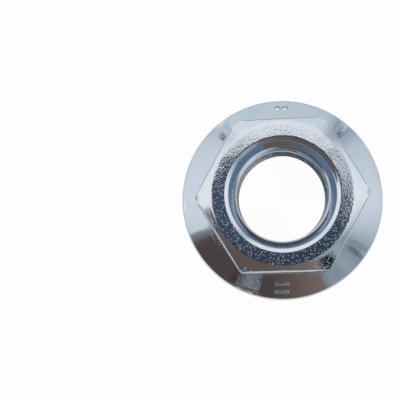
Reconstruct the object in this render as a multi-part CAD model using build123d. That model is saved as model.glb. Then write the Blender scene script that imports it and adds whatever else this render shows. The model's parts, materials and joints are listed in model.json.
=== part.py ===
from build123d import *
import os
from math import cos, radians, sin, tan

# Serrated hexagon flange nut, cold forged in one piece with its flange.
# Millimetres. +Z points up from the serrated bearing face to the crowned hexagon, the nut stands on
# its serration crests at z = 0, and the thread axis is the Z axis. Two opposite corners of the
# hexagon lie on the X axis.

# Hexagon and its crown
hexagon_sides = 6
across_flats = 14.0
nut_height = 9.7
hex_edge_radius = 0.5  # rounding of the six upright edges
top_face_diameter = 13.1  # flat ring that the crown leaves on top
crown_angle = 25.0  # fall of the crown below the horizontal, degrees
crown_shoulder_radius = 1.0  # rounds the crown over into the upright edges
crown_clearance = 0.1  # the crown's shoulder lies this far outside the hexagon's corners

# Flange
flange_diameter = 20.0
rim_bulge = 0.175  # how far the rim bulges out past the crisp edge between it and the cone
rim_edge_height = 1.7
rim_bevel_width = 0.725  # from the outer end of the serration crests out to the rim
rim_bevel_angle = 32.5  # rise of the bevel from the serration crests to the rim, degrees
rim_round_radius = 0.55  # rounds the bevel up into the rim
cone_angle = 27.0  # rise of the flange's upper face towards the hexagon, degrees
hex_foot_radius = 0.7  # fillet where the hexagon grows out of the cone

# Threaded hole, bored plain at the thread's minor diameter
thread_minor_diameter = 8.5
countersink_angle = 90.0  # included angle at both ends, degrees
top_countersink_width = 0.77  # from the bore's wall out to the countersink's mouth
top_lip_radius = 0.65  # rounded lip of the upper countersink
bearing_countersink_width = 1.15

# Bearing face
recess_diameter = 13.0  # smooth sunken ring inside the serrations
recess_depth = 0.3
serration_count = 24
serration_depth = 0.25  # at the reference diameter, in proportion to the radius elsewhere
serration_reference_diameter = 19.0
crest_angle = 1.6  # flat land on each crest, degrees of turn
bite_angle = 1.0  # steep face that bites when the nut is turned back, degrees of turn

# Derived sizes
fillet_share = 0.9  # the most of a neighbouring wall that a rounding may take
tool_overrun = 1.0  # how far each cutting tool stands clear of the metal
rim_edge_diameter = flange_diameter - 2 * rim_bulge
bearing_diameter = flange_diameter - 2 * rim_bevel_width
top_countersink_diameter = thread_minor_diameter + 2 * top_countersink_width
bearing_countersink_diameter = thread_minor_diameter + 2 * bearing_countersink_width
flange_radius = flange_diameter / 2
rim_edge_radius = rim_edge_diameter / 2
bore_radius = thread_minor_diameter / 2
half_side_angle = radians(180 / hexagon_sides)
sharp_corner_radius = across_flats / 2 / cos(half_side_angle)
corner_rounded_off = hex_edge_radius / cos(half_side_angle) - hex_edge_radius
skirt_radius = sharp_corner_radius - corner_rounded_off + crown_clearance


def cone_height(radius):
    """Height of the flange's upper face at a distance from the thread axis."""
    return rim_edge_height + (rim_edge_radius - radius) * tan(radians(cone_angle))


def hexagon():
    """Six-sided column with rounded upright edges, from the bearing plane to the top."""
    section = RegularPolygon(across_flats / 2, hexagon_sides, major_radius=False)
    section = fillet(section.vertices(), hex_edge_radius)
    return extrude(section, nut_height)


def crown_envelope():
    """Turned shape that crowns the hexagon: top ring, sloping crown and rounded shoulder."""
    top_radius = min(top_face_diameter / 2, skirt_radius - crown_clearance)
    crown_width = skirt_radius - top_radius
    shoulder_height = nut_height - crown_width * tan(radians(crown_angle))
    outline = Polyline(
        (0, 0),
        (skirt_radius, 0),
        (skirt_radius, shoulder_height),
        (top_radius, nut_height),
        (0, nut_height),
        close=True,
    )
    section = make_face(outline)
    shorter_wall = min(crown_width / cos(radians(crown_angle)), shoulder_height)
    tangent_ratio = tan(radians(90 - crown_angle) / 2)
    shoulder_radius = min(crown_shoulder_radius, fillet_share * shorter_wall / tangent_ratio)
    shoulder = section.vertices().sort_by_distance((skirt_radius, shoulder_height, 0))[0]
    section = fillet(shoulder, shoulder_radius)
    return revolve(Plane.XZ * section, Axis.Z)


def flange():
    """Conical flange with a crisp upper rim edge, a bulging rim and a bevelled, rounded foot."""
    bevel = radians(rim_bevel_angle)
    bevel_length = rim_bevel_width / cos(bevel)
    rim_corner_height = rim_bevel_width * tan(bevel)
    tangent_ratio = tan((radians(90) - bevel) / 2)
    shorter_wall = min(bevel_length, rim_edge_height - rim_corner_height)
    round_radius = min(rim_round_radius, fillet_share * shorter_wall / tangent_ratio)
    tangent = round_radius * tangent_ratio
    bevel_start = (bearing_diameter / 2, 0)
    bevel_end = (flange_radius - tangent * cos(bevel), rim_corner_height - tangent * sin(bevel))
    rim_start = (flange_radius, rim_corner_height + tangent)
    rim_edge = (rim_edge_radius, rim_edge_height)
    foot = Line(bevel_start, bevel_end)
    rounding = TangentArc(bevel_end, rim_start, tangent=(cos(bevel), sin(bevel)))
    rim = TangentArc(rim_start, rim_edge, tangent=(0, 1))
    inside = Polyline(
        rim_edge,
        (bore_radius, cone_height(bore_radius)),
        (0, cone_height(bore_radius)),
        (0, 0),
        bevel_start,
    )
    section = make_face([foot, rounding, rim, inside])
    return revolve(Plane.XZ * section, Axis.Z)


def forged_blank():
    """Crowned hexagon on its flange, joined by the fillet at the hexagon's foot."""
    blank = (hexagon() & crown_envelope()) + flange()
    foot_low = cone_height(skirt_radius)
    foot_high = cone_height(across_flats / 2 - crown_clearance)
    foot_edges = blank.edges().filter_by_position(Axis.Z, foot_low, foot_high)
    return fillet(foot_edges, hex_foot_radius)


def countersink(mouth_radius, mouth_height, depth_sign):
    """Cone that widens the bore to mouth_radius at mouth_height; depth_sign points into the metal."""
    slope = tan(radians(countersink_angle / 2))
    tip_height = mouth_height + depth_sign * mouth_radius / slope
    wide_height = mouth_height - depth_sign * tool_overrun
    wide_radius = mouth_radius + tool_overrun * slope
    section = make_face(
        Polyline((0, tip_height), (wide_radius, wide_height), (0, wide_height), close=True)
    )
    return revolve(Plane.XZ * section, Axis.Z)


def bored(blank):
    """The blank with its threaded hole, countersunk at both ends and rounded at the upper lip."""
    bore = Pos(0, 0, nut_height / 2) * Cylinder(bore_radius, nut_height + tool_overrun)
    blank -= bore
    blank -= countersink(top_countersink_diameter / 2, nut_height, -1)
    blank -= countersink(bearing_countersink_diameter / 2, recess_depth, 1)
    top_circles = blank.edges().filter_by(GeomType.CIRCLE).group_by(Axis.Z)[-1]
    lip = top_circles.sort_by(SortBy.RADIUS)[0]
    lip_radius = min(top_lip_radius, fillet_share * top_countersink_width)
    return fillet(lip, lip_radius)


def bearing_recess():
    """Shallow ring, sloped at its edge, that sinks the bearing face inside the serrations."""
    recess_radius = recess_diameter / 2
    return Pos(0, 0, (recess_depth - tool_overrun) / 2) * Cone(
        recess_radius + recess_depth + tool_overrun, recess_radius, recess_depth + tool_overrun
    )


def serration_cutter():
    """Pyramid with its tip on the thread axis, which cuts one ratchet ramp and its biting face.

    Seen from above, the ramp falls away clockwise from its crest, so the crests slide when the nut
    is tightened and the steep faces bite when it is turned back.
    """
    ramp = radians(360 / serration_count - crest_angle - bite_angle)
    bite = radians(bite_angle)
    reach = flange_radius + tool_overrun
    depth = serration_depth * reach / (serration_reference_diameter / 2)
    tip = (0, 0, 0)
    crest = (reach, 0, 0)
    valley = (reach, -reach * tan(ramp), depth)
    next_crest = (reach, -reach * tan(ramp + bite), 0)
    below_next_crest = (reach, -reach * tan(ramp + bite), -tool_overrun)
    below_crest = (reach, 0, -tool_overrun)
    base = [crest, valley, next_crest, below_next_crest, below_crest]
    sides = [(tip, here, there) for here, there in zip(base, base[1:] + base[:1])]
    faces = [make_face(Polyline(*corners, close=True)).face() for corners in [base, *sides]]
    return Solid(Shell(faces))


def flange_nut():
    """The finished nut: forged blank, bored, recessed and serrated underneath."""
    nut = bored(forged_blank()) - bearing_recess()
    cutter = serration_cutter()
    return nut - PolarLocations(0, serration_count) * cutter


os.makedirs("parts", exist_ok=True)
export_step(flange_nut(), "parts/flange_nut.step")
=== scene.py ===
import json
from math import atan2, cos, exp, hypot, pi, radians, sin, sqrt, tan

import bmesh
import bpy
from mathutils import Matrix, Vector


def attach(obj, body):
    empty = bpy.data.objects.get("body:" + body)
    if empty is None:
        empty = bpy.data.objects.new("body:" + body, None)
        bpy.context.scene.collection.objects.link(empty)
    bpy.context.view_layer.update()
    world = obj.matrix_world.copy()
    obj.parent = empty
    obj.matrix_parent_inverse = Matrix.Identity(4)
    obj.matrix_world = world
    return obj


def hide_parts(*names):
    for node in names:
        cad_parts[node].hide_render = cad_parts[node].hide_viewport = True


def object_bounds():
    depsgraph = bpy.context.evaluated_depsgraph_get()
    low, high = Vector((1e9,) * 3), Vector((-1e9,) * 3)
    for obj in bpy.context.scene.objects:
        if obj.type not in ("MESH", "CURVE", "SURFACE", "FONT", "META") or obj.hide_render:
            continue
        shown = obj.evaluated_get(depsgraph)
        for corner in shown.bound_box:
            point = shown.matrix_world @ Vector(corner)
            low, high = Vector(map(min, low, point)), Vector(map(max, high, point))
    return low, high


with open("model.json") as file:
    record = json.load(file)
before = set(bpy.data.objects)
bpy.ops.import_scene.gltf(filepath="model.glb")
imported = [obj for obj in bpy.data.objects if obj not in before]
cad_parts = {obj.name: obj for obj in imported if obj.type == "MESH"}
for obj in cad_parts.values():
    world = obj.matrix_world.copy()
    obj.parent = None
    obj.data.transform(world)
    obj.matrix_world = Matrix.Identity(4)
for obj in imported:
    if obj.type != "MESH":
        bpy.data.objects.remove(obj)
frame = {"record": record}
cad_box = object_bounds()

bl_info = {
    "name": "Serrated flange nut",
    "version": (1, 0, 0),
    "blender": (4, 5, 0),
    "location": "View3D > Sidebar > Flange Nut",
    "description": "Models a forged, tapped and zinc plated flange nut round its CAD frame",
    "category": "Mesh",
}

MM = 0.001
NODE = "flange_nut"
BODY_NAME = "forged_nut"
FLANGE_RADIUS = cad_box[1].x
NUT_HEIGHT = cad_box[1].z
THREAD_MOUNT = next(m for m in frame["record"]["mounts"] if m["kind"] == "threaded_hole")
BORE_RADIUS = THREAD_MOUNT["dims"]["r_mm"] * MM
BORE_BOTTOM = THREAD_MOUNT["pos_m"][2] - THREAD_MOUNT["dims"]["length_mm"] * MM / 2
BORE_TOP = THREAD_MOUNT["pos_m"][2] + THREAD_MOUNT["dims"]["length_mm"] * MM / 2
# Both countersinks slope at 45 degrees, so they widen by as much as they are deep
MOUTH_RADIUS = BORE_RADIUS + NUT_HEIGHT - BORE_TOP


# ----------------------------------------
# Sizes and colours
# ----------------------------------------


def length(name, description, default):
    """A size in metres, shown in the scene's unit of length."""
    return bpy.props.FloatProperty(
        name=name, description=description, default=default, min=0.0, precision=5, unit="LENGTH"
    )


def turn(name, description, default):
    """An angle, given in degrees and kept in radians."""
    return bpy.props.FloatProperty(
        name=name, description=description, default=radians(default), subtype="ANGLE"
    )


def count(name, description, default):
    """A whole number of things."""
    return bpy.props.IntProperty(name=name, description=description, default=default, min=1)


def linear(hex_colour):
    """The linear colour of an sRGB hex value."""
    channels = [int(hex_colour[i : i + 2], 16) / 255 for i in (1, 3, 5)]
    return tuple(c / 12.92 if c <= 0.04045 else ((c + 0.055) / 1.055) ** 2.4 for c in channels)


def colour(name, description, hex_colour):
    """A colour, given as an sRGB hex value."""
    return bpy.props.FloatVectorProperty(
        name=name, description=description, default=linear(hex_colour), size=3, subtype="COLOR",
        min=0.0, max=1.0,
    )


class HexagonSizes(bpy.types.PropertyGroup):
    """The crowned hexagon above the flange."""

    across_flats: length("Across flats", "Distance between opposite flats", 14.0 * MM)
    top_face: length("Top face", "Diameter of the flat ring on top", 13.1 * MM)
    crown_angle: turn("Crown angle", "Fall of the crown below the horizontal", 25)
    shoulder: length("Crown shoulder", "Rounding of the crown over the corners", 1.0 * MM)
    shoulder_clearance: length("Shoulder clearance", "Shoulder outside the corners", 0.18 * MM)
    crown_edge: length("Crown edge", "Softening where the crown meets the flats", 0.25 * MM)
    top_edge: length("Top edge", "Rounding between the top face and the crown", 0.6 * MM)
    foot: length("Foot fillet", "Fillet where the hexagon grows out of the flange", 0.7 * MM)


class FlangeSizes(bpy.types.PropertyGroup):
    """The conical flange and its serrated bearing face."""

    cone_angle: turn("Cone angle", "Rise of the upper face towards the hexagon", 27)
    edge_height: length("Edge height", "Height of the crisp edge of the rim", 1.7 * MM)
    rim_bulge: length("Rim bulge", "Bulge of the rim past its crisp edge", 0.175 * MM)
    bevel_width: length("Bevel width", "From the serrations out to the rim", 0.725 * MM)
    bevel_angle: turn("Bevel angle", "Rise of the bevel under the rim", 32.5)
    rim_round: length("Rim rounding", "Rounding from the bevel up into the rim", 0.55 * MM)
    recess: length("Recess", "Diameter of the sunken ring inside the serrations", 13.0 * MM)
    recess_depth: length("Recess depth", "How deep that ring is sunk", 0.3 * MM)
    serrations: count("Serrations", "Number of ratchet ramps", 24)
    serration_depth: length("Serration depth", "Depth at the reference radius", 0.25 * MM)
    serration_reference: length("Reference", "Radius where the depth is measured", 9.5 * MM)
    crest: turn("Crest", "Flat land on each crest", 1.6)
    bite: turn("Bite", "Steep face that bites when the nut is turned back", 1.0)


class ThreadSizes(bpy.types.PropertyGroup):
    """The tapped hole: its thread, the mouth above it and how the thread runs out."""

    major: length("Major diameter", "Diameter at the roots of the nut's thread", 10.0 * MM)
    pitch: length("Pitch", "Rise of the thread in one turn", 1.5 * MM)
    flank: turn("Flank angle", "Half of the thread's included angle", 30)
    start_height: length("Start height", "Height of the groove on the start side", 9.35 * MM)
    lip: length("Lip", "Rounding of the top countersink's mouth", 0.72 * MM)
    lead: length("Lead", "How far a steep bevel leads into the bore, across its wall", 0.14 * MM)
    lead_angle: turn("Lead angle", "Slope of that bevel below the horizontal", 72)
    fade_height: length("Fade height", "Where the groove starts to run out", 7.75 * MM)
    fade_length: length("Fade length", "Rise in which the groove runs out", 0.4 * MM)


class MarkSizes(bpy.types.PropertyGroup):
    """Plain raised marks on the flange: two pips on the far side and two bars on the near side."""

    height: length("Height", "How far the marks stand out of the flange", 0.1 * MM)
    pip: length("Pip", "Radius of a pip", 0.33 * MM)
    pip_spacing: length("Pip spacing", "Between the pips' centres", 0.74 * MM)
    pip_distance: length("Pip distance", "From the thread axis to the pips", 9.05 * MM)
    pip_side: turn("Pip side", "Direction of the pips", 88.2)
    bar_length: length("Bar length", "Length of a bar, across the flange's radius", 1.4 * MM)
    bar_width: length("Bar width", "Width of a bar", 0.28 * MM)
    bar_spacing: length("Bar spacing", "Between the bars' centres", 0.9 * MM)
    bar_distance: length("Bar distance", "From the thread axis to the middle of the bars", 8.7 * MM)
    bar_side: turn("Bar side", "Direction of the bars", 268.2)


class FinishColours(bpy.types.PropertyGroup):
    """Bright zinc plate with a clear blue passivation."""

    zinc: colour("Zinc", "Colour of the bright plate", "#DAE2E9")
    blue: colour("Blue tint", "Where the passivation is thicker", "#C9D8E8")
    warm: colour("Warm tint", "Where the passivation is thinner", "#E2E0DE")
    blue_size: length("Blue size", "Size of the blue patches", 3.0 * MM)
    warm_size: length("Warm size", "Size of the warm patches", 1.25 * MM)
    grain: length("Grain", "Size of the grain that the blasted blank leaves", 0.16 * MM)
    grain_depth: length("Grain depth", "How deep the full grain is", 0.042 * MM)
    wave: length("Wave", "Size of the soft unevenness that forging leaves", 2.2 * MM)
    wave_depth: length("Wave depth", "How deep that unevenness is", 0.012 * MM)
    streak: length("Streak", "Width of the streaks that run out over the flange", 0.35 * MM)


class StudioSettings(bpy.types.PropertyGroup):
    """Floor, soft light, the cards that the plate mirrors, and the camera."""

    floor: colour("Floor", "Plain pale floor", "#F2F3F4")
    high_light: colour("High light", "Soft light from above", "#FFFFFF")
    low_light: colour("Low light", "Bluer soft light from lower down", "#C2D0DA")
    horizon: colour("Horizon", "Dark room behind the light, near the floor", "#637993")
    high_edge: turn("High edge", "How far from overhead the high light reaches", 55)
    low_edge: turn("Low edge", "Where the low light takes over", 68)
    room_edge: turn("Room edge", "Where the low light ends", 74)
    card_distance: length("Card distance", "Distance of flag, hood and skirt from the nut", 300 * MM)
    flag: colour("Flag", "Brown flag on the near side", "#564A47")
    flag_top: colour("Flag's top", "Lighter upper half of the flag", "#6D5E58")
    flag_edge: colour("Flag's soft edge", "Colour at the flag's first edge", "#8F989F")
    flag_bright: colour("Flag's bright side", "Colour at the flag's last edge", "#88756B")
    flag_start: turn("Flag start", "Direction of the flag's first edge", 196)
    flag_top_start: turn("Flag's top start", "Direction of its upper half's first edge", 184)
    flag_end: turn("Flag end", "Direction of the flag's last edge", 298)
    flag_middle: turn("Flag's middle", "Where the flag's lighter upper half ends", 53.5)
    flag_low: turn("Flag's low edge", "How far from overhead the flag reaches", 64)
    skirt: colour("Skirt", "Near side of the room under the low light", "#6A625C")
    skirt_start: turn("Skirt start", "Direction of the skirt's first edge", 225)
    skirt_end: turn("Skirt end", "Direction of the skirt's last edge", 292)
    hood: colour("Hood", "Dark hood above the nut", "#3C4656")
    hood_blue: colour("Hood's far side", "Bluer far side of the hood", "#4A586D")
    hood_width: turn("Hood width", "Reach of the hood to each side of overhead", 9.46)
    hood_shift: length("Hood shift", "How far the hood hangs left of the nut", 5.5 * MM)
    hood_near: length("Hood towards", "How far the hood hangs to the near side", 8.0 * MM)
    # Tones of the card in the hole: painted shade and light of the floor there
    well: colour("Well", "Shaded floor inside the hole", "#50565E")
    well_dim: colour("Well's dim side", "Half shaded floor inside the hole", "#747A82")
    well_bright: colour("Well's bright side", "Lit floor inside the hole", "#D4D8DC")
    height: length("Camera height", "Lens above the bearing face", 88.0 * MM)
    offset: length("Camera offset", "Lens towards the near side", 5.35 * MM)
    shift: length("Camera shift", "Lens towards the left", 0.8 * MM)
    aim: length("Aim", "How far left of the nut the camera aims", 8.18 * MM)
    aim_far: length("Aim beyond", "How far beyond the thread axis the camera aims", 0.02 * MM)
    aim_height: length("Aim height", "How far above the bearing face the camera aims", 1.2 * MM)
    roll: turn("Camera roll", "Turn of the camera about its own axis", 1.8)
    lens: bpy.props.FloatProperty(
        name="Lens", description="Focal length", default=78.0, min=1.0, unit="CAMERA"
    )


# ----------------------------------------
# The section of the nut at one angle round the thread axis
# ----------------------------------------

HEX_SIDES = 6
# Rounding of each upright edge, in order round the nut from the X axis
CORNER_ROUNDINGS = tuple(r * MM for r in (0.6, 1.15, 1.1, 0.5, 0.4, 0.75))
# Waves in the hexagon's walls: their number round the nut, depth and phase
WALL_WAVES = (
    (7, 0.009 * MM, 1.0),
    (19, 0.0054 * MM, 0.0),
    (43, 0.0036 * MM, 0.0),
)
# Shallow folds that forging leaves in the flange, out from a corner: angle, half width, depth
FLANGE_FOLDS = (
    (radians(48), radians(2.4), 0.06 * MM),
    (radians(126), radians(2.4), 0.04 * MM),
    (radians(182), radians(3.0), 0.015 * MM),
    (radians(246), radians(6.5), 0.22 * MM),
    (radians(303), radians(4.0), 0.03 * MM),
    (radians(325), radians(2.0), 0.06 * MM),
)
# Share of the cone's width in which a fold fades out at the rim
FOLD_LIP = 0.12
# Roundings of edges that are sharp to the eye
BORE_SOFTENING = 0.07 * MM
CREST_SOFTENING = 0.04 * MM
RIM_EDGE_SOFTENING = 0.03 * MM
SERRATION_SOFTENING = radians(0.25)
# The rim's direction just under its crisp edge
RIM_UNDER_EDGE = (0.02 * MM, -0.1 * MM)
# Steps back over the crown from the wall, which give its slope there
CROWN_STEP = 0.02 * MM
CROWN_STEPS = 10

# Columns of the mesh at each tooth: close together from a little before its crest to after it
COLUMNS_ACROSS_CREST = 12
COLUMNS_ALONG_RAMP = 10
DENSE_BEFORE = radians(2.2)
DENSE_AFTER = radians(3.2)
# Rows of the mesh on each straight stretch of the section, as shares of its length
RECESS_ROWS = (0.35, 0.65)
SERRATION_ROWS = (0.08, 0.25, 0.5, 0.75, 0.92)
BEVEL_ROWS = (0.3, 0.7)
CONE_ROWS = (0.015, 0.08, 0.17, 0.26, 0.35, 0.44, 0.53, 0.62, 0.71, 0.8, 0.89, 0.96, 0.99)
WALL_ROWS = (0.01, 0.12, 0.31, 0.5, 0.69, 0.88, 0.99)
CROWN_ROWS = (0.03, 0.15, 0.3, 0.45, 0.6, 0.75, 0.9, 0.98)
TOP_ROWS = (0.1, 0.3, 0.6, 0.95)
COUNTERSINK_ROWS = (0.05, 0.35, 0.65, 0.95)
LEAD_ROWS = (0.05, 0.5, 0.95)
BORE_ROWS = (0.01, 0.25, 0.5, 0.75, 0.95)
# Steps of the mesh round each rounding
EDGE_STEPS = 2
RIM_STEPS = 6
FOOT_STEPS = 6
CROWN_EDGE_STEPS = 5
TOP_EDGE_STEPS = 4
LIP_STEPS = 8


def column_angles(flange):
    """Angles of the mesh's columns: close together at each crest, which hexagon corners share."""
    tooth = 2 * pi / flange.serrations
    dense = DENSE_BEFORE + DENSE_AFTER
    steps = [dense / COLUMNS_ACROSS_CREST] * COLUMNS_ACROSS_CREST
    steps += [(tooth - dense) / COLUMNS_ALONG_RAMP] * COLUMNS_ALONG_RAMP
    angles = []
    for crest in range(flange.serrations):
        angle = crest * tooth - DENSE_BEFORE
        for step in steps:
            angles.append(angle)
            angle += step
    return angles


def turned_from(angle, middle):
    """How far an angle is from another, within half a turn either way."""
    return (angle - middle + pi) % (2 * pi) - pi


def wander(angle):
    """How far forging leaves the hexagon's wall inside its true size at one angle."""
    return sum(depth * (1 + sin(number * angle + phase)) for number, depth, phase in WALL_WAVES)


def wall_radius(hexagon, angle):
    """Distance from the axis to the hexagon's wall, with a rounding of its own at each corner."""
    side = 2 * pi / HEX_SIDES
    corner = round(angle / side)
    edge = CORNER_ROUNDINGS[corner % HEX_SIDES]
    off_corner = abs(angle - corner * side)
    apothem = hexagon.across_flats / 2 - wander(angle)
    corner_radius = apothem / cos(side / 2)
    tangent = edge * tan(side / 2)
    tangent_angle = atan2(tangent * sin(side), corner_radius - tangent * cos(side))
    if off_corner >= tangent_angle:
        return apothem / cos(side / 2 - off_corner)
    centre = corner_radius - edge / sin(side)
    return centre * cos(off_corner) + sqrt(edge**2 - (centre * sin(off_corner)) ** 2)


def crown_height(hexagon, radius):
    """Height of the turned crown: a cone whose outer edge rounds over into the corners."""
    top_radius = hexagon.top_face / 2
    slope = hexagon.crown_angle
    corner_radius = hexagon.across_flats / 2 / cos(pi / HEX_SIDES)
    skirt = corner_radius + hexagon.shoulder_clearance
    skirt_height = NUT_HEIGHT - (skirt - top_radius) * tan(slope)
    tangent = hexagon.shoulder * tan((pi / 2 - slope) / 2)
    if radius <= skirt - tangent * cos(slope):
        return NUT_HEIGHT - (radius - top_radius) * tan(slope)
    across = radius - (skirt - hexagon.shoulder)
    return skirt_height - tangent + sqrt(max(0.0, hexagon.shoulder**2 - across**2))


def serration_slope(flange, angle):
    """Rise of the bearing face above the crests, over the distance from the axis."""
    tooth = 2 * pi / flange.serrations

    def sharp(turned):
        turned %= tooth
        if turned <= flange.crest:
            return 0.0
        if turned <= flange.crest + flange.bite:
            return (turned - flange.crest) / flange.bite
        return (tooth - turned) / (tooth - flange.crest - flange.bite)

    softened = sum(sharp(angle + i * SERRATION_SOFTENING) for i in (-1, 0, 1)) / 3
    return softened * flange.serration_depth / flange.serration_reference


def point(radius, height):
    """A point of the section: distance from the axis and height."""
    return Vector((radius, height))


def run(start, end, shares):
    """Points on the straight line between two others, at the given shares of its length."""
    return [start.lerp(end, s) for s in shares]


def rounding(before, corner, after, radius, steps=EDGE_STEPS):
    """Arc that rounds a corner between two straight lines, both of its ends included."""
    back = (before - corner).normalized()
    on = (after - corner).normalized()
    half = back.angle(on) / 2
    setback = radius / tan(half)
    centre = corner + (back + on).normalized() * (radius / sin(half))
    first = corner + back * setback - centre
    last = corner + on * setback - centre
    return [centre + radius * first.slerp(last, i / steps) for i in range(steps + 1)]


def serrations_end(flange, angle):
    """Where the serrations run out on the bevel under the rim."""
    rise = serration_slope(flange, angle)
    bevel = tan(flange.bevel_angle)
    outer = (FLANGE_RADIUS - flange.bevel_width) * bevel / (bevel - rise)
    return point(outer, outer * rise)


def bearing_side(flange, angle):
    """Section from the lower end of the bore out over the serrations to the bevel."""
    rise = serration_slope(flange, angle)
    recess = flange.recess / 2
    bore_top = point(BORE_RADIUS, BORE_TOP)
    bore_end = point(BORE_RADIUS, BORE_BOTTOM)
    mouth = point(BORE_RADIUS + BORE_BOTTOM - flange.recess_depth, flange.recess_depth)
    recess_edge = point(recess, flange.recess_depth)
    inner = (recess + flange.recess_depth) / (1 + rise)
    inner_end = point(inner, inner * rise)
    outer_end = serrations_end(flange, angle)
    return [
        *rounding(bore_top, bore_end, mouth, BORE_SOFTENING),
        *rounding(bore_end, mouth, recess_edge, BORE_SOFTENING),
        *run(mouth, recess_edge, RECESS_ROWS),
        *rounding(mouth, recess_edge, inner_end, BORE_SOFTENING),
        *rounding(recess_edge, inner_end, outer_end, CREST_SOFTENING),
        *run(inner_end, outer_end, SERRATION_ROWS),
        outer_end,
    ]


def rim_side(flange, angle):
    """Section from the bevel round the bulging rim to its crisp upper edge."""
    corner = point(FLANGE_RADIUS, flange.bevel_width * tan(flange.bevel_angle))
    bevel_start = point(FLANGE_RADIUS - flange.bevel_width, 0)
    upright = point(FLANGE_RADIUS, NUT_HEIGHT)
    foot = rounding(bevel_start, corner, upright, flange.rim_round, RIM_STEPS)
    rise = flange.edge_height - foot[-1].y
    bulge_radius = (flange.rim_bulge**2 + rise**2) / (2 * flange.rim_bulge)
    bulge_centre = point(FLANGE_RADIUS - bulge_radius, foot[-1].y)
    edge_turn = atan2(rise, bulge_radius - flange.rim_bulge)
    turns = [edge_turn * i / RIM_STEPS for i in range(1, RIM_STEPS)]
    bulge = [bulge_centre + bulge_radius * point(cos(turned), sin(turned)) for turned in turns]
    return [*run(serrations_end(flange, angle), foot[0], BEVEL_ROWS), *foot, *bulge]


def fold_depth(angle):
    """How deep the flange's upper face is folded in at one angle, where it is deepest."""
    depth = 0.0
    for middle, half_width, deepest in FLANGE_FOLDS:
        depth += deepest * exp(-((turned_from(angle, middle) / half_width) ** 2))
    return depth


def cone_height(flange, radius):
    """Height of the flange's upper face before any forging folds."""
    edge_radius = FLANGE_RADIUS - flange.rim_bulge
    return flange.edge_height + (edge_radius - radius) * tan(flange.cone_angle)


def upper_side(hexagon, flange, angle):
    """Section from the rim's crisp edge over the cone, up the hexagon's wall and over the crown."""
    wall = wall_radius(hexagon, angle)
    edge = point(FLANGE_RADIUS - flange.rim_bulge, flange.edge_height)
    foot_corner = point(wall, cone_height(flange, wall))
    crown_corner = point(wall, crown_height(hexagon, wall))
    top_corner = point(hexagon.top_face / 2, NUT_HEIGHT)
    step = point(wall - CROWN_STEP, crown_height(hexagon, wall - CROWN_STEP)) - crown_corner
    crown_back = crown_corner + step * CROWN_STEPS
    below_edge = edge + point(*RIM_UNDER_EDGE)
    edge_round = rounding(below_edge, edge, foot_corner, RIM_EDGE_SOFTENING)
    foot = rounding(edge, foot_corner, crown_corner, hexagon.foot, FOOT_STEPS)
    crown_edge = rounding(
        foot_corner, crown_corner, crown_back, hexagon.crown_edge, CROWN_EDGE_STEPS
    )
    top_round = rounding(
        crown_corner, top_corner, point(0, NUT_HEIGHT), hexagon.top_edge, TOP_EDGE_STEPS
    )
    reach = crown_edge[-1].x - top_round[0].x
    crown = [crown_edge[-1].x - reach * share for share in CROWN_ROWS]
    fold = fold_depth(angle)
    cone = [
        place - point(0, fold * (1 - share) * min(1, share / FOLD_LIP))
        for share, place in zip(CONE_ROWS, run(edge_round[-1], foot[0], CONE_ROWS))
    ]
    return [
        *edge_round,
        *cone,
        *foot,
        *run(foot[-1], crown_edge[0], WALL_ROWS),
        *crown_edge,
        *(point(radius, crown_height(hexagon, radius)) for radius in crown),
        *top_round,
    ]


def mouth_side(thread, ring_edge):
    """Section from the top face's outer edge over the lip and down the countersink to the bore."""
    mouth = point(MOUTH_RADIUS, NUT_HEIGHT)
    lead_top = point(BORE_RADIUS + thread.lead, BORE_TOP + thread.lead)
    lead_end = point(BORE_RADIUS, lead_top.y - thread.lead * tan(thread.lead_angle))
    bore_bottom = point(BORE_RADIUS, BORE_BOTTOM)
    lip = rounding(ring_edge, mouth, lead_top, thread.lip, LIP_STEPS)
    lead_round = rounding(mouth, lead_top, lead_end, BORE_SOFTENING)
    end = rounding(lead_top, lead_end, bore_bottom, BORE_SOFTENING)
    return [
        *run(ring_edge, lip[0], TOP_ROWS),
        *lip,
        *run(lip[-1], lead_round[0], COUNTERSINK_ROWS),
        *lead_round,
        *run(lead_round[-1], end[0], LEAD_ROWS),
        *end,
        *run(end[-1], bore_bottom, BORE_ROWS),
    ]


def nut_section(sizes, angle):
    """The closed section of the nut at one angle, from the lower end of the bore outwards."""
    upper = upper_side(sizes.hexagon, sizes.flange, angle)
    return [
        *bearing_side(sizes.flange, angle),
        *rim_side(sizes.flange, angle),
        *upper,
        *mouth_side(sizes.thread, upper[-1]),
    ]


class NutSizes(bpy.types.PropertyGroup):
    """All the sizes of the nut."""

    hexagon: bpy.props.PointerProperty(type=HexagonSizes, name="Hexagon")
    flange: bpy.props.PointerProperty(type=FlangeSizes, name="Flange")
    thread: bpy.props.PointerProperty(type=ThreadSizes, name="Thread")
    marks: bpy.props.PointerProperty(type=MarkSizes, name="Marks")


def forged_body(sizes):
    """The nut without its thread: its section spun round the axis, then fitted column by column."""
    angles = column_angles(sizes.flange)
    section = nut_section(sizes, 0)
    bm = bmesh.new()
    station = bm.verts.layers.int.new("station")
    outline = [bm.verts.new((p.x, 0, p.y)) for p in section]
    for i, vert in enumerate(outline):
        vert[station] = i
    edges = [bm.edges.new((a, b)) for a, b in zip(outline, outline[1:] + outline[:1])]
    bmesh.ops.spin(
        bm, geom=outline + edges, cent=(0, 0, 0), axis=(0, 0, 1), angle=2 * pi,
        steps=len(angles), use_merge=True,
    )
    fitted = [nut_section(sizes, angle) for angle in angles]
    for vert in bm.verts:
        column = round(atan2(vert.co.y, vert.co.x) / (2 * pi) * len(angles)) % len(angles)
        place = fitted[column][vert[station]]
        vert.co = (place.x * cos(angles[column]), place.x * sin(angles[column]), place.y)
    bmesh.ops.recalc_face_normals(bm, faces=bm.faces)
    bm.verts.layers.int.remove(station)
    return bm


# ----------------------------------------
# Thread
# ----------------------------------------

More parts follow.
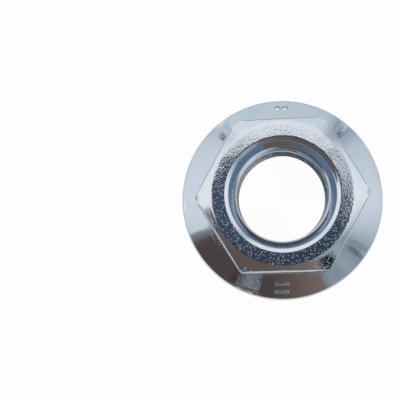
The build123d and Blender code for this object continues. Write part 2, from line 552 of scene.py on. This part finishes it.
STEPS_PER_TURN = 120
START_SIDE = radians(90)
# How far the coil's upper end is drawn in towards the axis
RUN_OUT = 1.2 * MM
# The coil starts below the nut, and its inner side stands clear of the bore's wall
COIL_BOTTOM = -0.9 * MM
COIL_CLEARANCE = 0.2 * MM
# The thread's crests and the groove's root are rounded off: depth and width of each
CREST_ROUND = (0.06 * MM, 0.03 * MM)
ROOT_ROUND_DEPTH = 0.05 * MM
ROOT_ROUND_SHARE = 1 / 4


def thread_groove(thread):
    """Coil with the form of the groove between the threads, long enough to run out at both ends."""
    turns = (NUT_HEIGHT - 2 * COIL_BOTTOM) / thread.pitch
    root = thread.major / 2
    root_flat = thread.pitch / 8
    start = START_SIDE + (COIL_BOTTOM - thread.start_height) / thread.pitch * 2 * pi

    def flank(radius, wider=0.0):
        return point(radius, root_flat / 2 + (root - radius) * tan(thread.flank) + wider)

    crest_depth, crest_width = CREST_ROUND
    upper = [
        flank(BORE_RADIUS - COIL_CLEARANCE),
        flank(BORE_RADIUS, crest_width),
        flank(BORE_RADIUS + crest_depth),
        flank(root - ROOT_ROUND_DEPTH),
        point(root, root_flat * ROOT_ROUND_SHARE),
    ]
    outline = upper + [point(p.x, -p.y) for p in reversed(upper)]
    bm = bmesh.new()
    face = bm.faces.new(
        [bm.verts.new((p.x * cos(start), p.x * sin(start), p.y + COIL_BOTTOM)) for p in outline]
    )
    steps = round(turns * STEPS_PER_TURN)
    bmesh.ops.spin(
        bm, geom=[face], cent=(0, 0, 0), axis=(0, 0, 1), angle=steps / STEPS_PER_TURN * 2 * pi,
        dvec=(0, 0, thread.pitch / STEPS_PER_TURN), steps=steps,
    )
    run_out(bm, thread)
    bmesh.ops.recalc_face_normals(bm, faces=bm.faces)
    return bm


def run_out(bm, thread):
    """Draws the upper end of the coil in towards the axis, so that the groove gets shallow."""
    for vert in bm.verts:
        turned = (atan2(vert.co.y, vert.co.x) - START_SIDE) / (2 * pi)
        level = thread.start_height + turned * thread.pitch
        middle = level + round((vert.co.z - level) / thread.pitch) * thread.pitch
        share = min(1.0, max(0.0, (middle - thread.fade_height) / thread.fade_length))
        inward = 1 - share * RUN_OUT / hypot(vert.co.x, vert.co.y)
        vert.co = (vert.co.x * inward, vert.co.y * inward, vert.co.z)


# ----------------------------------------
# Marks and the blasted grain
# ----------------------------------------

# Coarser patches: angle, half width, inner and outer distance from the axis, share of full grain
ROUGH_PATCHES = (
    (radians(246.5), radians(8.5), 7.3 * MM, 10.8 * MM, 3.0),
    (radians(301), radians(7), 7.3 * MM, 10.0 * MM, 0.45),
    (radians(326), radians(3), 7.6 * MM, 10.2 * MM, 0.4),
    (radians(126), radians(3), 7.6 * MM, 10.0 * MM, 0.35),
    (radians(48.5), radians(3), 8.0 * MM, 10.4 * MM, 0.3),
    (radians(300), radians(13), 6.3 * MM, 8.3 * MM, 1.1),
    (radians(208), radians(14), 6.3 * MM, 8.0 * MM, 0.5),
)
# Dark specks in the plate, and painted shade that stands in for the dark reflections along the
# flange's folds: the same measures, and how strong they are
FLECKS_AND_PAINTED_SHADE = (
    (radians(301.5), radians(8.5), 6.6 * MM, 8.1 * MM, 1.2),
    (radians(131), radians(3.0), 7.6 * MM, 9.0 * MM, 0.8),
    (radians(46.5), radians(2.5), 7.8 * MM, 9.0 * MM, 0.55),
    (radians(322.5), radians(2.4), 7.8 * MM, 10.0 * MM, 0.7),
    (radians(239), radians(5.0), 8.0 * MM, 9.6 * MM, 0.5),
)
# How near to a surface a place has to be to belong to it
NEAR_SURFACE = 0.03 * MM
# Share of full grain on each surface
TOP_GRAIN = 0.16
FLAT_GRAIN = 0.2
CROWN_GRAIN = 0.06
FLANGE_GRAIN = 0.02
UNDERSIDE_GRAIN = 0.06
BORE_GRAIN = 0.0
# The marks' own mesh, and the rounding of a bar's edges against its height
PIP_SEGMENTS = 32
PIP_RINGS = 16
BAR_ROUNDING = 0.6
BAR_STEPS = 3
# Edges that turn by more than this stay crisp
CRISP_TURN = radians(35)


def on_flange(sizes, angle, distance, across, out):
    """Place on the flange's upper face; its Z axis stands square to the face, its Y points out."""
    slope = Matrix.Rotation(-sizes.flange.cone_angle, 4, "X")
    stand = Matrix.Translation((across, distance, cone_height(sizes.flange, distance)))
    return Matrix.Rotation(angle - pi / 2, 4, "Z") @ stand @ slope @ Matrix.Translation((0, out, 0))


def raised_marks(sizes):
    """Two round pips on one side of the flange and two bars on the other, half sunk into it."""
    marks = sizes.marks
    bm = bmesh.new()
    for side in (-0.5, 0.5):
        place = on_flange(sizes, marks.bar_side, marks.bar_distance, 0, side * marks.bar_spacing)
        block = Matrix.Diagonal((marks.bar_length, marks.bar_width, 2 * marks.height, 1))
        bmesh.ops.create_cube(bm, size=1, matrix=place @ block)
    bmesh.ops.bevel(
        bm, geom=bm.edges, offset=BAR_ROUNDING * marks.height, segments=BAR_STEPS, profile=0.5,
        affect="EDGES", clamp_overlap=True, material=-1,
    )
    for side in (-0.5, 0.5):
        place = on_flange(sizes, marks.pip_side, marks.pip_distance, side * marks.pip_spacing, 0)
        flat = Matrix.Diagonal((marks.pip, marks.pip, marks.height, 1))
        bmesh.ops.create_uvsphere(
            bm, u_segments=PIP_SEGMENTS, v_segments=PIP_RINGS, radius=1, matrix=place @ flat
        )
    return bm


def on_wall(sizes, place):
    """Whether a place lies on the hexagon's upright wall."""
    wall = wall_radius(sizes.hexagon, atan2(place.y, place.x))
    foot = cone_height(sizes.flange, wall) + NEAR_SURFACE
    crown = crown_height(sizes.hexagon, wall) - NEAR_SURFACE
    return hypot(place.x, place.y) > wall - NEAR_SURFACE and foot < place.z < crown


def patch_share(patches, sizes, place):
    """The strongest of some patches at one place on the crown or the flange."""
    if on_wall(sizes, place) or place.z < sizes.flange.edge_height:
        return 0.0
    radius = hypot(place.x, place.y)
    share = 0.0
    for middle, half_width, inner, outer, strength in patches:
        across = turned_from(atan2(place.y, place.x), middle) / half_width
        along = (2 * radius - inner - outer) / (outer - inner)
        if abs(across) < 1 and abs(along) < 1:
            share = max(share, strength * (1 - across**2) * (1 - along**4))
    return share


def grain_at(sizes, place):
    """Share of the blasted grain that shows through the plate at one place on the nut."""
    radius = hypot(place.x, place.y)
    lip_end = MOUTH_RADIUS + sizes.thread.lip * tan(pi / 8)
    if place.z < sizes.flange.edge_height - RIM_EDGE_SOFTENING:
        return UNDERSIDE_GRAIN if radius > BORE_RADIUS + NEAR_SURFACE else BORE_GRAIN
    if radius < lip_end - NEAR_SURFACE:
        return BORE_GRAIN
    if place.z > NUT_HEIGHT - NEAR_SURFACE:
        return TOP_GRAIN
    if on_wall(sizes, place):
        return FLAT_GRAIN
    wall = wall_radius(sizes.hexagon, atan2(place.y, place.x))
    base = FLANGE_GRAIN if radius > wall else CROWN_GRAIN
    return max(base, patch_share(ROUGH_PATCHES, sizes, place))


def store(body, name, share_at):
    """Stores a share at every vertex for the material."""
    attribute = body.data.attributes.new(name, "FLOAT", "POINT")
    attribute.data.foreach_set("value", [share_at(vert.co) for vert in body.data.vertices])


def mesh_object(bm, name):
    """A new object in the scene, at the origin, that holds the modelled mesh."""
    mesh = bpy.data.meshes.new(name)
    bm.to_mesh(mesh)
    bm.free()
    made = bpy.data.objects.new(name, mesh)
    bpy.context.scene.collection.objects.link(made)
    return made


def apply_modifier(target, modifier):
    """Turns the modifier's result into the object's own mesh."""
    depsgraph = bpy.context.evaluated_depsgraph_get()
    result = bpy.data.meshes.new_from_object(target.evaluated_get(depsgraph))
    target.modifiers.remove(modifier)
    old = target.data
    target.data = result
    result.name = target.name
    bpy.data.meshes.remove(old)


def combine(target, tool, operation):
    """Cuts the tool out of the target or joins it on, and removes the tool."""
    modifier = target.modifiers.new(operation.title(), "BOOLEAN")
    modifier.operation = operation
    modifier.object = tool
    modifier.solver = "EXACT"
    bpy.context.view_layer.update()
    apply_modifier(target, modifier)
    mesh = tool.data
    bpy.data.objects.remove(tool)
    bpy.data.meshes.remove(mesh)


class NUT_OT_forge_body(bpy.types.Operator):
    """Model the nut's body round its CAD frame and tap the hole"""

    bl_idname = "flange_nut.forge_body"
    bl_label = "Forged body"

    def execute(self, context):
        sizes = context.scene.nut_sizes
        body = mesh_object(forged_body(sizes), BODY_NAME)
        combine(body, mesh_object(raised_marks(sizes), "raised_marks"), "UNION")
        combine(body, mesh_object(thread_groove(sizes.thread), "thread_groove"), "DIFFERENCE")
        store(body, "grain", lambda place: grain_at(sizes, place))
        # Dark specks, partly painted shade along the flange's folds, kept at each vertex for the
        # material
        store(body, "flecks_and_painted_shade", lambda place: patch_share(FLECKS_AND_PAINTED_SHADE, sizes, place))
        body.data.shade_smooth()
        body.data.set_sharp_from_angle(angle=CRISP_TURN)
        body.data.materials.append(bright_zinc_plate(context.scene.nut_finish))
        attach(body, "root")
        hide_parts(NODE)
        return {"FINISHED"}


# ----------------------------------------
# Finish
# ----------------------------------------

WARM_SHARE = 0.6
PLATE_ROUGHNESS = 0.06
STREAK_ROUGHNESS = 0.06
GRAIN_GLOSS = 0.35
LEAST_ROUGHNESS = 0.03
STREAK_DEPTH = 0.0006 * MM
# Round pits in the blasted grain: reach as a share of the grain's size, depth against its ground
PIT_RADIUS = 0.3
PIT_SHARE = 1.1
GROUND_SHARE = 0.6
# Specks and painted shade are dark where the noise passes from the first of these values to the
# second
FLECK_AND_SHADE_COLOUR = linear("#1E232A")
FLECK_AND_SHADE_EDGES = (0.34, 0.52)
# Sockets of a colour's Mix node, by number because their names repeat
MIX_SHARE, MIX_FIRST, MIX_SECOND, MIX_RESULT = 0, 6, 7, 2


def add_node(tree, kind, inputs=None, **settings):
    """Adds a node with its settings.

    Each input is a value, another node's socket, or a node whose first output is meant.
    """
    node = tree.nodes.new(kind)
    for name, value in settings.items():
        setattr(node, name, value)
    for name, value in (inputs or {}).items():
        if isinstance(value, bpy.types.Node):
            value = value.outputs[0]
        if isinstance(value, bpy.types.NodeSocket):
            tree.links.new(value, node.inputs[name])
        else:
            node.inputs[name].default_value = value
    return node


def new_material(name):
    """A material without nodes, and its node tree."""
    material = bpy.data.materials.new(name)
    material.use_nodes = True
    material.node_tree.nodes.clear()
    return material, material.node_tree


def plate_colour(tree, finish, place):
    """Zinc with bluer and warmer patches, and dark specks and painted shade where the nut's
    attribute has them.
    """
    blue, warm = (
        add_node(tree, "ShaderNodeTexNoise", {"Vector": place, "Scale": 1 / size, "Detail": 2.0})
        for size in (finish.blue_size, finish.warm_size)
    )
    warm = add_node(tree, "ShaderNodeMath", {0: warm, 1: WARM_SHARE}, operation="MULTIPLY")
    speckle = add_node(
        tree, "ShaderNodeTexNoise", {"Vector": place, "Scale": 1 / finish.grain, "Detail": 1.0}
    )
    speckle = add_node(
        tree, "ShaderNodeMapRange",
        {"Value": speckle, "From Min": FLECK_AND_SHADE_EDGES[0], "From Max": FLECK_AND_SHADE_EDGES[1]},
    )
    # Painted shade along the folds, together with the dark specks
    flecks_and_painted_shade = add_node(tree, "ShaderNodeAttribute", attribute_name="flecks_and_painted_shade").outputs["Fac"]
    flecks_and_painted_shade = add_node(tree, "ShaderNodeMath", {0: speckle, 1: flecks_and_painted_shade}, operation="MULTIPLY")
    tint = (*finish.zinc, 1)
    for share, tone in ((blue, finish.blue), (warm, finish.warm), (flecks_and_painted_shade, FLECK_AND_SHADE_COLOUR)):
        tint = add_node(
            tree, "ShaderNodeMix", {MIX_SHARE: share, MIX_FIRST: tint, MIX_SECOND: (*tone, 1)},
            data_type="RGBA",
        ).outputs[MIX_RESULT]
    return tint


def plate_streaks(tree, finish, place):
    """Fine streaks that run straight out from the thread axis, down the walls and over the cone."""
    parts = add_node(tree, "ShaderNodeSeparateXYZ", {0: place}).outputs
    level = add_node(tree, "ShaderNodeCombineXYZ", {"X": parts["X"], "Y": parts["Y"]})
    outward = add_node(tree, "ShaderNodeVectorMath", {0: level}, operation="NORMALIZE")
    on_rim = add_node(
        tree, "ShaderNodeVectorMath", {0: outward, "Scale": FLANGE_RADIUS}, operation="SCALE"
    )
    return add_node(
        tree, "ShaderNodeTexNoise", {"Vector": on_rim, "Scale": 1 / finish.streak, "Detail": 2.0}
    )


def plate_roughness(tree, grain, streaks):
    """Nearly a mirror, a little softer in the streaks and glossier in the grain's pits."""
    smooth = add_node(
        tree, "ShaderNodeMath", {0: streaks, 1: STREAK_ROUGHNESS, 2: PLATE_ROUGHNESS},
        operation="MULTIPLY_ADD",
    )
    gloss = add_node(tree, "ShaderNodeMath", {0: grain, 1: GRAIN_GLOSS}, operation="MULTIPLY")
    glossier = add_node(tree, "ShaderNodeMath", {0: smooth, 1: gloss}, operation="SUBTRACT")
    return add_node(
        tree, "ShaderNodeMath", {0: glossier, 1: LEAST_ROUGHNESS}, operation="MAXIMUM"
    )


def plate_relief(tree, finish, place, grain, streaks):
    """Forging's soft waves, the streaks, and the pits of the blasted grain over both."""
    waves = add_node(
        tree, "ShaderNodeTexNoise", {"Vector": place, "Scale": 1 / finish.wave, "Detail": 1.0}
    )
    waves = add_node(
        tree, "ShaderNodeBump", {"Strength": 1.0, "Distance": finish.wave_depth, "Height": waves}
    )
    streaks = add_node(
        tree, "ShaderNodeBump",
        {"Strength": 1.0, "Distance": STREAK_DEPTH, "Height": streaks, "Normal": waves},
    )
    pits = add_node(tree, "ShaderNodeTexVoronoi", {"Vector": place, "Scale": 1 / finish.grain})
    pits = add_node(
        tree, "ShaderNodeMapRange", {"Value": pits, "From Max": PIT_RADIUS, "To Max": PIT_SHARE},
        interpolation_type="SMOOTHSTEP",
    )
    ground = add_node(
        tree, "ShaderNodeTexNoise", {"Vector": place, "Scale": 1 / finish.grain, "Detail": 2.0}
    )
    ground = add_node(tree, "ShaderNodeMath", {0: ground, 1: GROUND_SHARE}, operation="MULTIPLY")
    height = add_node(tree, "ShaderNodeMath", {0: pits, 1: ground}, operation="ADD")
    return add_node(
        tree, "ShaderNodeBump",
        {"Strength": grain, "Distance": finish.grain_depth, "Height": height, "Normal": streaks},
    )


def bright_zinc_plate(finish):
    """Steel electroplated with bright zinc and passivated clear: mirror-like with a cool tint.

    The blasted blank's grain shows through the plate where the vertex attribute "grain" is high.
    """
    material, tree = new_material("bright_zinc_plated_steel")
    place = add_node(tree, "ShaderNodeTexCoord").outputs["Object"]
    grain = add_node(tree, "ShaderNodeAttribute", attribute_name="grain").outputs["Fac"]
    streaks = plate_streaks(tree, finish, place)
    shader = add_node(
        tree, "ShaderNodeBsdfPrincipled",
        {
            "Metallic": 1.0,
            "Base Color": plate_colour(tree, finish, place),
            "Roughness": plate_roughness(tree, grain, streaks),
            "Normal": plate_relief(tree, finish, place, grain, streaks),
        },
    )
    add_node(tree, "ShaderNodeOutputMaterial", {"Surface": shader})
    return material


# ----------------------------------------
# Studio
# ----------------------------------------

# The flag's first edge fades in over an angle; its even part is a share of its width
FLAG_SOFTNESS = radians(7)
FLAG_SHARE = 0.64
# Tones of the hood by direction, in degrees
HOOD_SIDES = ((0, "plain"), (25, "blue"), (140, "blue"), (200, "plain"), (360, "plain"))
# Cards with the painted light and shade of the floor inside the hole: height, radius of the lit
# middle, and tones by direction
WELL_HEIGHT = 0.05 * MM
WELL_MIDDLE = 2.6 * MM
WELL_SIDES = (
    (0, "dim"), (95, "dim"), (122, "lit"), (188, "lit"), (203, "shaded"), (272, "shaded"),
    (300, "lit"), (345, "lit"), (360, "dim"),
)
LIGHT_STRENGTH = 1.05
# Soft boxes stand round the nut: direction in degrees and brightness, with dim gaps between them
BOX_LIGHT = (
    (0, 1.0), (22, 0.94), (37, 0.86), (50, 0.5), (61, 0.93), (118, 0.97), (127, 0.84), (140, 0.95),
    (175, 1.0), (200, 0.8), (296, 0.3), (316, 0.46), (326, 0.34), (342, 0.74), (360, 1.0),
)
# The dim gaps are bluish: powers of the brightness for red, green and blue
GAP_TONES = (1.15, 1.0, 0.88)
# How much the floor glows by itself, in the camera's view and in what the plate mirrors
FLOOR_GLOW = 0.97
MIRRORED_GLOW = 0.52
FLOOR_RADIUS = 3.0
FLOOR_SEGMENTS = 64
CARD_SEGMENTS = 48
DOME_ROWS = 12
DOME_STEPS = 24
SENSOR_WIDTH = 36.0
NEAREST_SEEN = 0.005
FARTHEST_SEEN = 20.0


def aim_camera(studio):
    """Camera that looks down on the nut from the near side, with the nut right of its centre."""
    camera = bpy.data.cameras.new("camera")
    camera.lens = studio.lens
    camera.sensor_width = SENSOR_WIDTH
    camera.clip_start = NEAREST_SEEN
    camera.clip_end = FARTHEST_SEEN
    up = Vector((sin(studio.roll), cos(studio.roll), 0))
    right = Vector((cos(studio.roll), -sin(studio.roll), 0))
    place = -studio.shift * right - studio.offset * up + Vector((0, 0, studio.height))
    target = Vector((0, 0, studio.aim_height)) - studio.aim * right + studio.aim_far * up
    back = (place - target).normalized()
    side = up.cross(back).normalized()
    turned = Matrix((side, back.cross(side), back)).transposed().to_4x4()
    holder = bpy.data.objects.new("camera", camera)
    holder.matrix_world = Matrix.Translation(place) @ turned
    bpy.context.scene.collection.objects.link(holder)
    bpy.context.scene.camera = holder


def side_share(tree, parts):
    """Direction round the thread axis of a place in three parts, as a share of a whole turn."""
    side = add_node(tree, "ShaderNodeMath", {0: parts["Y"], 1: parts["X"]}, operation="ARCTAN2")
    side = add_node(tree, "ShaderNodeMath", {0: side, 1: 2 * pi}, operation="DIVIDE")
    side = add_node(tree, "ShaderNodeMath", {0: side, 1: 1.0}, operation="ADD")
    return add_node(tree, "ShaderNodeMath", {0: side}, operation="FRACT")


def fill_ramp(ramp, stops):
    """Gives a colour ramp its stops, each a position and a colour."""
    elements = ramp.color_ramp.elements
    while len(elements) < len(stops):
        elements.new(1.0)
    for element, (position, tone) in zip(elements, stops):
        element.position = position
        element.color = (*tone, 1)


def light_world(studio):
    """Soft light all round: white from above, bluer lower down and dark near the floor."""
    world = bpy.data.worlds.new("studio_light")
    world.use_nodes = True
    tree = world.node_tree
    tree.nodes.clear()
    direction = add_node(tree, "ShaderNodeTexCoord").outputs["Generated"]
    parts = add_node(tree, "ShaderNodeSeparateXYZ", {0: direction}).outputs
    tilt = add_node(tree, "ShaderNodeMath", {0: parts["Z"]}, operation="ARCCOSINE")
    tilt = add_node(tree, "ShaderNodeMath", {0: tilt, 1: pi}, operation="DIVIDE")
    light = add_node(tree, "ShaderNodeValToRGB", {"Fac": tilt})
    fill_ramp(light, (
        (studio.high_edge / pi, studio.high_light),
        (studio.low_edge / pi, studio.low_light),
    ))
    boxes = add_node(tree, "ShaderNodeValToRGB", {"Fac": side_share(tree, parts)})
    fill_ramp(boxes, [
        (side / 360, [share**tone for tone in GAP_TONES]) for side, share in BOX_LIGHT
    ])
    lit = add_node(
        tree, "ShaderNodeMix", {MIX_SHARE: 1.0, MIX_FIRST: light, MIX_SECOND: boxes},
        data_type="RGBA", blend_type="MULTIPLY",
    ).outputs[MIX_RESULT]
    room = add_node(
        tree, "ShaderNodeMapRange",
        {"Value": tilt, "From Min": studio.low_edge / pi, "From Max": studio.room_edge / pi},
    )
    surround = add_node(
        tree, "ShaderNodeMix", {MIX_SHARE: room, MIX_FIRST: lit, MIX_SECOND: (*studio.horizon, 1)},
        data_type="RGBA",
    ).outputs[MIX_RESULT]
    background = add_node(
        tree, "ShaderNodeBackground", {"Color": surround, "Strength": LIGHT_STRENGTH}
    )
    add_node(tree, "ShaderNodeOutputWorld", {"Surface": background})
    bpy.context.scene.world = world


def glowing_card(name, bm, stops):
    """A stage card that only mirrors see; its stops are directions and colours round the nut."""
    card = mesh_object(bm, name)
    material, tree = new_material(name)
    place = add_node(tree, "ShaderNodeTexCoord").outputs["Object"]
    parts = add_node(tree, "ShaderNodeSeparateXYZ", {0: place}).outputs
    ramp = add_node(tree, "ShaderNodeValToRGB", {"Fac": side_share(tree, parts)})
    fill_ramp(ramp, [(side / (2 * pi), tone) for side, tone in stops])
    glow = add_node(tree, "ShaderNodeEmission", {"Color": ramp})
    add_node(tree, "ShaderNodeOutputMaterial", {"Surface": glow})
    card.data.materials.append(material)
    card.visible_camera = False


def dome_slice(distance, high, low, start, end):
    """A slice of a dome over the nut, between two tilts from overhead and two directions."""
    bm = bmesh.new()
    arc = []
    for i in range(DOME_ROWS + 1):
        tilt = high + (low - high) * i / DOME_ROWS
        out = distance * sin(tilt)
        arc.append(bm.verts.new((out * cos(start), out * sin(start), distance * cos(tilt))))
    edges = [bm.edges.new(pair) for pair in zip(arc, arc[1:])]
    bmesh.ops.spin(
        bm, geom=arc + edges, cent=(0, 0, 0), axis=(0, 0, 1), steps=DOME_STEPS, angle=end - start
    )
    return bm


def brown_flag(studio):
    """The flag on the near side, from beside the hood down to the low light, in two halves."""
    end = studio.flag_end
    for name, high, low, start, tone in (
        ("brown_flag_top", studio.hood_width, studio.flag_middle, studio.flag_top_start,
         studio.flag_top),
        ("brown_flag", studio.flag_middle, studio.flag_low, studio.flag_start, studio.flag),
    ):
        glowing_card(name, dome_slice(studio.card_distance, high, low, start, end), (
            (start, studio.flag_edge),
            (start + FLAG_SOFTNESS, tone),
            (start + (end - start) * FLAG_SHARE, tone),
            (end, studio.flag_bright),
        ))


def grey_skirt(studio):
    """The near side of the room, between the low light and the floor."""
    start, end = studio.skirt_start, studio.skirt_end
    bm = dome_slice(studio.card_distance, studio.room_edge, pi / 2, start, end)
    glowing_card("grey_skirt", bm, ((start, studio.horizon), ((start + end) / 2, studio.skirt)))


def disc(radius, place, segments):
    """A flat round face with its middle at the given place."""
    bm = bmesh.new()
    bmesh.ops.create_circle(
        bm, cap_ends=True, segments=segments, radius=radius, matrix=Matrix.Translation(place)
    )
    return bm


def dark_hood(studio):
    """A round card straight above the nut."""
    place = (-studio.hood_shift, -studio.hood_near, studio.card_distance + NUT_HEIGHT)
    bm = disc(studio.card_distance * tan(studio.hood_width), place, CARD_SEGMENTS)
    tones = {"plain": studio.hood, "blue": studio.hood_blue}
    glowing_card("dark_hood", bm, [(radians(side), tones[tone]) for side, tone in HOOD_SIDES])


def floor_in_hole_with_painted_shade(studio):
    """The floor inside the hole as the thread mirrors it, with the nut's own shade painted onto the
    card.
    """
    tones = {"lit": studio.well_bright, "dim": studio.well_dim, "shaded": studio.well}
    bm = disc(BORE_RADIUS + BORE_BOTTOM, (0, 0, WELL_HEIGHT), CARD_SEGMENTS)
    glowing_card("floor_in_hole_with_painted_shade", bm, [(radians(side), tones[tone]) for side, tone in WELL_SIDES])
    bm = disc(WELL_MIDDLE, (0, 0, 2 * WELL_HEIGHT), CARD_SEGMENTS)
    glowing_card("middle_of_hole", bm, ((0, studio.well_bright), (2 * pi, studio.well_bright)))


def pale_floor(studio):
    """Plain pale floor under the nut, near white to the camera and still shaded by the nut."""
    floor = mesh_object(disc(FLOOR_RADIUS, (0, 0, 0), FLOOR_SEGMENTS), "floor")
    material, tree = new_material("pale_paper")
    path = add_node(tree, "ShaderNodeLightPath").outputs
    mirrored = add_node(
        tree, "ShaderNodeMath", {0: path["Is Glossy Ray"], 1: path["Is Transmission Ray"]},
        operation="MAXIMUM",
    )
    shares = [
        add_node(tree, "ShaderNodeMath", {0: seen, 1: share}, operation="MULTIPLY")
        for seen, share in ((path["Is Camera Ray"], FLOOR_GLOW), (mirrored, MIRRORED_GLOW))
    ]
    glow_share = add_node(
        tree, "ShaderNodeMath", {0: shares[0], 1: shares[1]}, operation="MAXIMUM"
    )
    paper = add_node(tree, "ShaderNodeBsdfDiffuse", {"Color": (*studio.floor, 1)})
    glow = add_node(tree, "ShaderNodeEmission", {"Color": (1, 1, 1, 1), "Strength": 1.0})
    mixed = add_node(tree, "ShaderNodeMixShader", {0: glow_share, 1: paper, 2: glow})
    add_node(tree, "ShaderNodeOutputMaterial", {"Surface": mixed})
    floor.data.materials.append(material)


class NUT_OT_set_studio(bpy.types.Operator):
    """Set up the floor, the soft light and the camera"""

    bl_idname = "flange_nut.set_studio"
    bl_label = "Studio"

    def execute(self, context):
        studio = context.scene.nut_studio
        pale_floor(studio)
        brown_flag(studio)
        grey_skirt(studio)
        dark_hood(studio)
        floor_in_hole_with_painted_shade(studio)
        light_world(studio)
        aim_camera(studio)
        context.scene.view_settings.view_transform = "Standard"
        return {"FINISHED"}


class NUT_PT_panel(bpy.types.Panel):
    """Lists the steps that make the nut"""

    bl_idname = "NUT_PT_panel"
    bl_label = "Flange Nut"
    bl_space_type = "VIEW_3D"
    bl_region_type = "UI"
    bl_category = "Flange Nut"

    def draw(self, context):
        for operator in OPERATORS:
            self.layout.operator(operator.bl_idname)


GROUPS = (
    HexagonSizes, FlangeSizes, ThreadSizes, MarkSizes, NutSizes, FinishColours, StudioSettings,
)
OPERATORS = (NUT_OT_forge_body, NUT_OT_set_studio)


def register():
    for cls in (*GROUPS, *OPERATORS, NUT_PT_panel):
        bpy.utils.register_class(cls)
    bpy.types.Scene.nut_sizes = bpy.props.PointerProperty(type=NutSizes)
    bpy.types.Scene.nut_finish = bpy.props.PointerProperty(type=FinishColours)
    bpy.types.Scene.nut_studio = bpy.props.PointerProperty(type=StudioSettings)


def unregister():
    del bpy.types.Scene.nut_studio
    del bpy.types.Scene.nut_finish
    del bpy.types.Scene.nut_sizes
    for cls in reversed((*GROUPS, *OPERATORS, NUT_PT_panel)):
        bpy.utils.unregister_class(cls)


def main():
    register()
    bpy.ops.flange_nut.forge_body()
    bpy.ops.flange_nut.set_studio()


if __name__ == "__main__":
    main()
